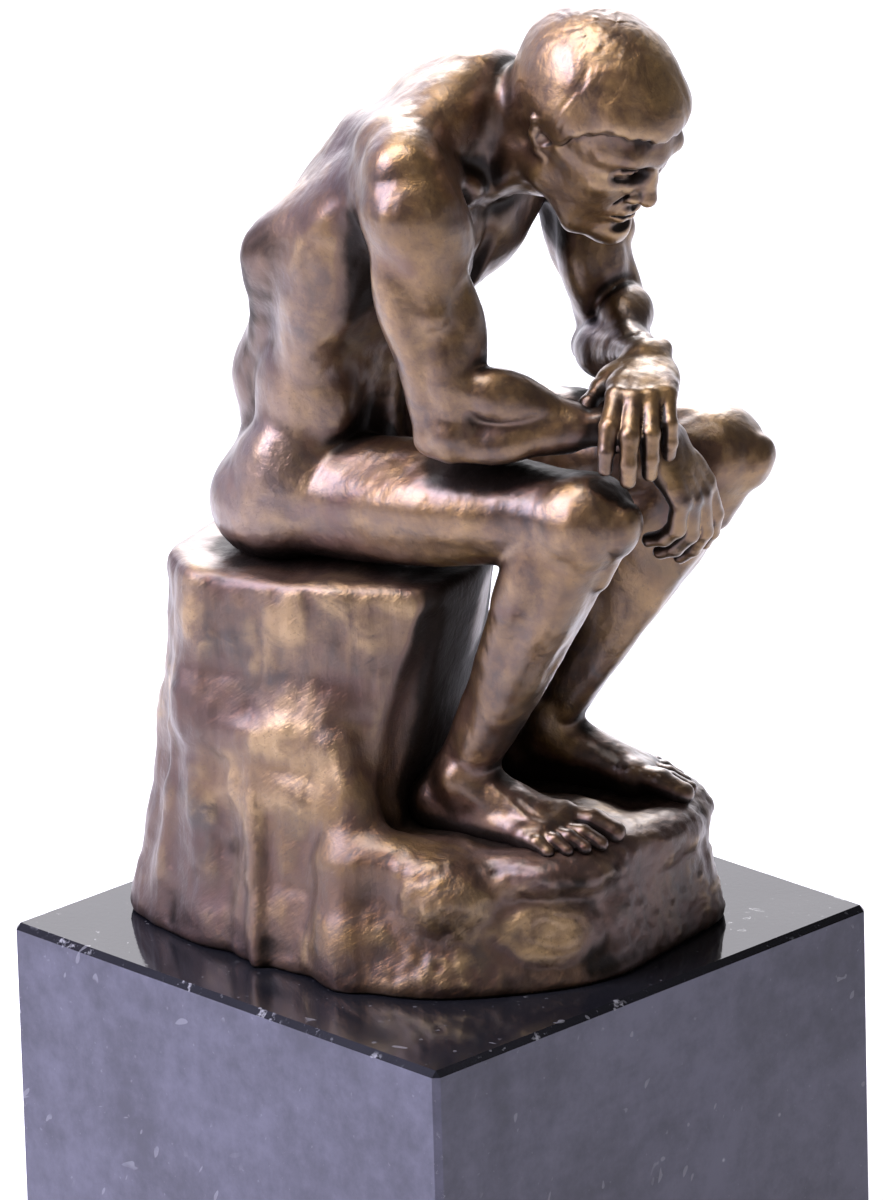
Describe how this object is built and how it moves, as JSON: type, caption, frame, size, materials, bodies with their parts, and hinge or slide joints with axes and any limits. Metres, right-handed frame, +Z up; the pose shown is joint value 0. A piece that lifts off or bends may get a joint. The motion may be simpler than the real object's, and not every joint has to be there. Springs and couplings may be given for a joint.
{
  "type": "seated figure statuette",
  "caption": "Bronze statuette of a seated figure in thought on a rock, bolted down on a square black marble plinth with a felt pad underneath.",
  "frame": {"origin": "centre of the underside of the felt pad, which is what the statuette stands on", "axes": "+Z up; the plinth's sides lie along X and Y and -Y is its front; the figure is turned 20 degrees from the front, towards +X"},
  "size_m": [0.12, 0.12, 0.2799],
  "materials": {
    "bronze": "cast bronze, brown patina, waxed and rubbed lighter on the high points",
    "dowel_brass": "drawn rod",
    "zinc_steel": "zinc plated",
    "marble": "honed black marble with pale flecks, polished top",
    "felt": "pressed wool felt"
  },
  "bodies": {
    "root": {"rock_casting": "bronze", "lap_casting": "bronze", "torso_casting": "bronze", "head_casting": "bronze", "right_arm_casting": "bronze", "left_arm_casting": "bronze", "right_leg_casting": "bronze", "left_leg_casting": "bronze", "neck_dowel": "dowel_brass", "shoulder_dowels": "dowel_brass", "waist_dowels": "dowel_brass", "knee_dowels": "dowel_brass", "foot_dowels": "dowel_brass", "cross_pins": "dowel_brass", "seat_stud": "zinc_steel", "seat_washer": "zinc_steel", "seat_nut": "zinc_steel", "plinth_studs": "zinc_steel", "plinth_washers": "zinc_steel", "plinth_nuts": "zinc_steel", "marble_plinth": "marble", "felt_pad": "felt"}
  },
  "joints": []
}
